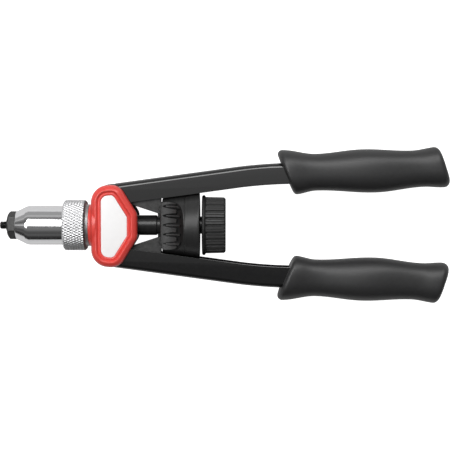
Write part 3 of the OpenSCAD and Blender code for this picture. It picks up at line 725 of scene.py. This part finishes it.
def neck_half():
    """The half ring that each cover adds to the neck, with a hollow flare towards the head."""
    split = 0.01
    angles = np.linspace(split, math.pi - split, 65)
    bore_r = NECK_R - COVER_WALL
    profile = [(HEAD_X, NECK_R - 0.25), (HEAD_X + 0.2, NECK_R)]
    for t in np.linspace(0, 1, 9):
        rise = FLARE_RISE * (1 - math.cos(0.5 * math.pi * t))
        profile.append((HEAD_X + FLARE_X + FLARE_LEN * t, NECK_R + rise))
    profile += [(BLOCK_END, profile[-1][1]), (BLOCK_END, bore_r), (HEAD_X, bore_r)]
    points = [(x, r * math.cos(a), r * math.sin(a)) for a in angles for x, r in profile]
    size = len(angles), len(profile)
    return np.array(points), grid_faces(*size) + end_caps(*size)


def label():
    """The bare plate in the upper cover's recess, with its rim rounded."""
    low, high = box_mm("front_label")
    rim = [(0.02, low[2]), (0.02, high[2] - 0.12), (0.1, high[2] - 0.03), (0.25, high[2])]
    rings = belt_rings([(LABEL_INSET + inset, z) for inset, z in rim])
    size = len(rings), len(rings[0])
    piece("bare_label", np.concatenate(rings), grid_faces(*size) + end_caps(*size), "front_label")


cover("upper_shell", "front_cover", 1)
cover("lower_shell", "rear_cover", -1)
label()
refined("head_frame", 0.3)
for pin in ("upper_pivot_pin", "lower_pivot_pin"):
    refined(pin, 0.4)
refined("rear_bush", 0.2)


# Handles and grips, in the upper handle's own frame: along it, across it, height

LINK_PIN_BACK, LINK_PIN_SIDE = 9.0, 4.5
LINK_PIN = middle("upper_link_pin")
SLOPE = math.atan2(LINK_PIN[1] - PIVOT_Y, LINK_PIN[0] - PIVOT_X) - math.atan2(LINK_PIN_SIDE, LINK_PIN_BACK)
STRAIGHT = 92.0
BEND_R = 363.0
BEND = math.radians(5.8)
EDGE_MID = 5.05
BEND_END = (STRAIGHT + BEND_R * math.sin(BEND), -BEND_R * (1 - math.cos(BEND)))
GRIP_LEN = 118.3
GRIP_LEAD = 3.8
FRONT_SLANT = 10.3
REAR_SLANT = 6.6
INNER_LEN = GRIP_LEN - FRONT_SLANT + REAR_SLANT
GRIP_MEAN_LEN = (GRIP_LEN + INNER_LEN) / 2
GRIP_FLATNESS = 0.93
GRIP_SECTION = 2.4
FRONT_ROUND = 3.2
REAR_ROUND = 4.2
CAP_SHARES = (0.03, 0.4, 0.75)
# Half width along a grip's outer and inner side, as [share of the length, half width]
OUTER_KNOTS = [(0.021, 17.2), (0.24, 13.5), (0.52, 15.65), (0.83, 13.5), (0.992, 15.6)]
INNER_KNOTS = [(0.013, 15.8), (0.15, 13.5), (0.53, 16.4), (0.84, 13.5), (0.958, 14.4)]


def turn_about(points, angle, place):
    """Points turned about the vertical, then moved to a place in the plane."""
    c, s = math.cos(angle), math.sin(angle)
    x, y, z = points.T
    return np.column_stack([place[0] + c * x - s * y, place[1] + s * x + c * y, z])


def wave(knots, t):
    """A smooth wave through knots, level at each of them."""
    places, values = zip(*knots)
    t = min(max(t, places[0]), places[-1])
    i = min(int(np.searchsorted(places, t, side="right")) - 1, len(knots) - 2)
    share = (t - places[i]) / (places[i + 1] - places[i])
    return values[i] + (values[i + 1] - values[i]) * (1 - math.cos(math.pi * share)) / 2


def power(value, exponent):
    """A power of a value's size that keeps the value's sign."""
    return np.sign(value) * np.abs(value) ** exponent


def grip_ring(t, shrink, columns=96):
    """One ring round a grip, at a share t of its length, drawn in by shrink."""
    a = even_angles(columns)
    cv, cz = power(np.cos(a), 2 / GRIP_SECTION), power(np.sin(a), 2 / GRIP_SECTION)
    lean = (1 + cv) / 2
    half_out = wave(OUTER_KNOTS, t) - shrink
    half_in = wave(INNER_KNOTS, t) - shrink
    half_z = GRIP_FLATNESS * (half_out + half_in) / 2
    along = (t * INNER_LEN + FRONT_SLANT) * (1 - lean) + t * GRIP_LEN * lean
    return np.column_stack([along, cv * np.where(cv > 0, half_out, half_in), cz * half_z])


def grip_points():
    """Rings from the front cap, over the rounded ends, to the rear cap."""
    front, rear = FRONT_ROUND / GRIP_MEAN_LEN, REAR_ROUND / GRIP_MEAN_LEN
    arcs = np.linspace(0, math.pi / 2, 10)
    rings = [grip_ring(front * (1 - math.cos(a)), FRONT_ROUND * (1 - math.sin(a))) for a in arcs]
    rings += [grip_ring(t, 0) for t in np.linspace(front, 1 - rear, 100)[1:-1]]
    rings += [grip_ring(1 - rear * (1 - math.cos(a)), REAR_ROUND * (1 - math.sin(a))) for a in arcs[::-1]]
    front_cap = [rings[0].mean(axis=0) * (1 - k) + rings[0] * k for k in CAP_SHARES]
    rear_cap = [rings[-1].mean(axis=0) * (1 - k) + rings[-1] * k for k in CAP_SHARES[::-1]]
    return front_cap + rings + rear_cap


def grip(name, node, side):
    """A moulded grip; side is 1 for the upper handle and -1 for the lower."""
    rings = grip_points()
    points = np.concatenate(rings) + [-GRIP_LEAD, EDGE_MID, 0]
    points = turn_about(turn_about(points, -BEND, BEND_END), SLOPE, (PIVOT_X, PIVOT_Y))
    points[:, 1] *= side
    size = len(rings), len(rings[0])
    piece(name, points, grid_faces(*size) + end_caps(*size), node)


grip("upper_handle_grip", "upper_grip", 1)
grip("lower_handle_grip", "lower_grip", -1)
for arm in ("upper_arm", "lower_arm"):
    refined(arm, 0.7, 50)


# Toggle

STOP_X, STOP_END = span_x("stop_barrel")
# The heel that each link has beside the handle; it still clears the barrel when the handles are open
HEEL_END = STOP_X + 0.48
HEEL_X = HEEL_END - 7.4
HEEL = [(HEEL_X, 18.4), (HEEL_END, 15.9), (HEEL_END, 20.4), (HEEL_X, 20.8)]
HEEL_INSET = 0.05


def add_heel(obj, node, side):
    """Adds the heel to a link plate; side is 1 for the upper link and -1 for the lower."""
    low, high = box_mm(node)
    work = bmesh.new()
    work.from_mesh(obj.data)
    bottom, top = [
        [work.verts.new((x * MM, side * y * MM, z * MM)) for x, y in HEEL]
        for z in (low[2] + HEEL_INSET, high[2] - HEEL_INSET)]
    faces = [work.faces.new(bottom), work.faces.new(top)]
    for i in range(len(HEEL)):
        faces.append(work.faces.new((bottom[i - 1], bottom[i], top[i], top[i - 1])))
    bmesh.ops.recalc_face_normals(work, faces=faces)
    work.to_mesh(obj.data)
    work.free()


for handle, side in (("upper", 1), ("lower", -1)):
    for link in (f"{handle}_link_front", f"{handle}_link_rear"):
        add_heel(refined(link, 0.4), link, side)
    refined(f"{handle}_link_pin", 0.3)
    pin = refined(f"{handle}_crosshead_pin", 0.3)
    pin.data.materials[0] = MATERIALS["link_steel"]
refined("slider", 0.3)
refined("spindle", 0.2)
refined("mandrel_coupler", 0.3)
refined("thrust_washer", 0.25)
refined("knob_screw", 0.25)


# Stroke adjuster and knob

THREAD_BORE = 6.45
# The barrel's radius in front, and its step in from the adjuster behind
STOP_R = 20.09
STOP_STEP = 0.05
STOP_HOLLOW = 8.8
FACE_LEN = 1.7
FACE_R = 10.0
FRONT_EDGE = 0.9
HOLLOW_R = 18.49
MOUTH, MOUTH_LEN = 0.7, 2.2
CHANNEL_HALF = 7.2
SCOOP_R = 17.0
SCOOP_LIFT = 2.1
SCOOP_REAR = 5.8
PAD_RISE = 1.5
FLUTES = 5
FLUTE_PITCH = 6.9
FLUTE_SHIFT = 0.65
FLUTE_TIP = 2.0
FLUTE_W = 4.4
FLANK = 0.3
RIB_W = 0.9
RIB_LEAD, RIB_LEAD_RAMP = 1.8, 0.8
RIB_REAR, RIB_REAR_RAMP = 2.4, 0.5
THINNEST = 0.03
ADJUSTER_FRONT_R = 22.4
ADJUSTER_NEARER = 0.2
KNOB_RIBS = 24
KNOB_TURN = math.radians(2.7)
KNOB_RIB_R, KNOB_FLANGE_R = 20.7, 22.0
KNOB_FLANGE = 2.6
KNOB_EDGE = 1.8
KNOB_DRAFT = 0.3
KNOB_FACE_R = 17.0
KNOB_HUB, KNOB_SEAT = 1.74, 3.7
KNOB_WASHER_R, KNOB_HOLE_R, KNOB_SCREW_R = 9.2, 2.2, 4.8
# Depths of the groove and of the fine crease between two ribs, and their places as shares of the pitch
KNOB_GROOVE, GROOVE_HALF = 1.15, 0.2
KNOB_CREASE, CREASE_START = 0.45, 0.43


def scoop_depth(x, y):
    """How far a point of a scoop lies below its pads: 0 on a pad or a rib, 1 on the floor."""
    tip = STOP_X + FLUTE_TIP
    pad_end = STOP_END - SCOOP_REAR
    share = np.clip((x - tip) / (pad_end - tip), 0, 1)
    floor = ease((x - pad_end) / FLANK)
    rib = 0.0
    for k in range(FLUTES):
        off = np.abs(y - FLUTE_SHIFT - (k - (FLUTES - 1) / 2) * FLUTE_PITCH)
        floor = np.maximum(floor, ease((FLUTE_W / 2 * math.sqrt(share) - off) / FLANK))
        rib = np.maximum(rib, 1 - ease((off - RIB_W / 2) / FLANK))
    after_lead = ease((x - tip - RIB_LEAD) / RIB_LEAD_RAMP)
    after_rear = ease((x - pad_end - RIB_REAR) / RIB_REAR_RAMP)
    return floor * (1 - rib * after_lead * (1 - after_rear))


def stop_barrel():
    """A conical barrel with two thumb scoops, hollow in front for the toggle.

    Its points are closer round the scoops. A column starts where the wall is thick enough to be solid.
    """
    near, far = np.radians(np.arange(22, 158, 0.35)), np.radians(np.arange(-21, 22, 2.0))
    angles = np.concatenate([far, near, far + math.pi, near + math.pi])
    sine = np.abs(np.sin(angles))
    cotangent = np.cos(angles) / sine
    end_r = ADJUSTER_FRONT_R - STOP_STEP
    scoop_x, scoop_z = STOP_END - SCOOP_R, radius("adjuster_nut") + SCOOP_LIFT
    hub = STOP_X + STOP_HOLLOW

    def arc(r, x):
        """Height above the axis of a scoop with radius r."""
        return scoop_z - math.sqrt(max(r * r - (x - scoop_x) ** 2, 0))

    def outside(x):
        """The barrel's outer radius at x, for each angle."""
        pad, floor = arc(SCOOP_R - PAD_RISE, x), arc(SCOOP_R, x)
        height = pad + (floor - pad) * scoop_depth(x, pad * cotangent) - max(FRONT_EDGE - (x - STOP_X), 0)
        cone = STOP_R + (end_r - STOP_R) * (x - STOP_X - FACE_LEN) / (STOP_END - STOP_X - FACE_LEN)
        face = FACE_R + (STOP_R - FACE_R) * (x - STOP_X) / FACE_LEN
        return np.minimum(np.minimum(cone, face), height / sine)

    def inside(x):
        """The radius of the barrel's hollow at x, for each angle."""
        mouth = MOUTH * np.clip((STOP_X + MOUTH_LEN - x) / MOUTH_LEN, 0, 1)
        return np.minimum(HOLLOW_R + mouth - np.clip(x - hub + 1, 0, 1), CHANNEL_HALF / sine)

    pad_end = STOP_END - SCOOP_REAR
    xs = np.concatenate([
        np.linspace(STOP_X, STOP_X + 2.4, 17), np.linspace(STOP_X + 2.6, pad_end - 0.1, 44),
        np.linspace(pad_end, pad_end + 0.4, 5), np.linspace(pad_end + 0.6, STOP_END, 26)])
    outer = np.array([outside(x) for x in xs])
    solid = outer > np.array([inside(x) for x in xs]) + THINNEST
    first = np.argmax(solid, axis=0)
    columns = np.arange(len(angles))
    start_x, start_r = xs[first], outer[first, columns]
    rows = [(start_x, np.array([inside(x)[j] for j, x in zip(columns, start_x)]))]
    for i, x in enumerate(xs):
        rows.append((np.maximum(x, start_x), np.where(i < first, start_r, outer[i])))
    mouth_end = STOP_X + MOUTH_LEN + 0.05
    rows += [(STOP_END, THREAD_BORE), (hub, THREAD_BORE)]
    rows += [(x, inside(x)) for x in (hub, hub - 1, mouth_end)]
    barrel = turned_piece("scooped_barrel", "stop_barrel", rows, angles, math.radians(40))
    weld(barrel.data)
    barrel.data.materials.append(MATERIALS["adjuster_black"])
    # A near-black matte paints shade into the flutes' floors, onto the steps behind the pads and onto the
    # pads' chamfered front edge; the pads keep their grey and the rest takes the adjuster's black.
    barrel.data.materials.append(matte("painted_scoop_shade", 0.006, 0.6))
    for face in barrel.data.polygons:
        x, _, z = face.center / MM
        depth = math.hypot(x - scoop_x, abs(z) - scoop_z) - (SCOOP_R - PAD_RISE)
        face.material_index = 1 if depth > PAD_RISE + 0.1 else 0 if depth < 0.4 else 2


def adjuster():
    """The smooth nut behind the stop barrel, on the same cone."""
    x0, x1 = span_x("adjuster_nut")
    x0 -= ADJUSTER_NEARER
    r = radius("adjuster_nut")
    rows = [(x0, THREAD_BORE), (x0, ADJUSTER_FRONT_R - 0.12), (x0 + 0.12, ADJUSTER_FRONT_R)]
    for t in np.linspace(0.1, 0.96, 8):
        rows.append((x0 + (x1 - x0) * t, ADJUSTER_FRONT_R + (r - ADJUSTER_FRONT_R) * t))
    rows += [(x1 - 0.15, r - 0.14), (x1, r - 0.4), (x1, THREAD_BORE)]
    turned_piece("smooth_adjuster", "adjuster_nut", rows, even_angles(192), math.radians(50))


def knob():
    """A knob with a flange in front and drafted ribs; all but the ribs' tops, the flange included, take a
    near-black matte as painted shade in the grooves between the ribs.
    """
    x0, x1 = span_x("knob")
    hub, seat = x0 + KNOB_HUB, x1 - KNOB_SEAT
    half = np.array([
        0, 0.05, 0.1, 0.14, 0.17, GROOVE_HALF, 0.24, 0.3, 0.38, CREASE_START, 0.455, 0.48, 0.5])
    shares = np.concatenate([-half[:0:-1], half[:-1]])
    angles = math.pi / 2 - KNOB_TURN + (np.arange(KNOB_RIBS)[:, None] + shares).ravel() * TAU / KNOB_RIBS
    off = np.abs(np.tile(shares, KNOB_RIBS))
    groove = KNOB_GROOVE * np.sqrt(np.clip(1 - (off / GROOVE_HALF) ** 2, 0, 1))
    crease = KNOB_CREASE * np.clip((off - CREASE_START) / (0.5 - CREASE_START), 0, 1)
    cut = groove + crease

    flange_end, flange_r = x0 + KNOB_FLANGE, KNOB_FLANGE_R
    rows = [(x0, KNOB_WASHER_R), (x0, flange_r - 1.0), (x0 + 0.3, flange_r - 0.35), (x0 + 0.8, flange_r)]
    rows += [(flange_end - 0.9, flange_r), (flange_end - 0.5, flange_r - 0.15)]
    rows += [(flange_end - 0.2, KNOB_RIB_R + 0.6)]
    rib_x = flange_end + 0.1
    front = rib_x + np.array([0, 0.2, 0.5, 0.9])
    for x in np.concatenate([front, np.linspace(rib_x + 1.6, x1 - KNOB_EDGE, 8)]):
        draft = KNOB_DRAFT * (x - rib_x) / (x1 - rib_x)
        rows.append((x, KNOB_RIB_R - draft - cut * ease((x - rib_x) / 0.8)))
    rear_r = KNOB_RIB_R - KNOB_DRAFT
    for t in np.linspace(0, 1, 6)[1:]:
        back = KNOB_EDGE * (1 - math.sin(0.5 * math.pi * t))
        drop = KNOB_EDGE * (1 - math.cos(0.5 * math.pi * t))
        rows.append((x1 - back, rear_r - drop - cut * (1 - 0.8 * t)))
    rows += [(x1, KNOB_FACE_R), (x1, KNOB_SCREW_R + 0.3), (x1 - 0.3, KNOB_SCREW_R), (seat, KNOB_SCREW_R)]
    rows += [(seat, KNOB_HOLE_R), (hub, KNOB_HOLE_R), (hub, KNOB_WASHER_R)]
    ribbed = turned_piece("ribbed_knob", "knob", rows, angles, math.radians(50))
    # Every face but the ribs' tops, the flange and the ends included, takes a near-black matte: painted
    # shade for the grooves.
    ribbed.data.materials.append(matte("knob_groove", 0.006, 0.55))
    painted_shade_r = rear_r - 0.4 * KNOB_GROOVE
    for face in ribbed.data.polygons:
        x, y, z = face.center / MM
        on_rib = rib_x + 0.3 < x < x1 - 1.0 and math.hypot(y, z) > painted_shade_r
        face.material_index = 0 if on_rib else 1


stop_barrel()
adjuster()
knob()
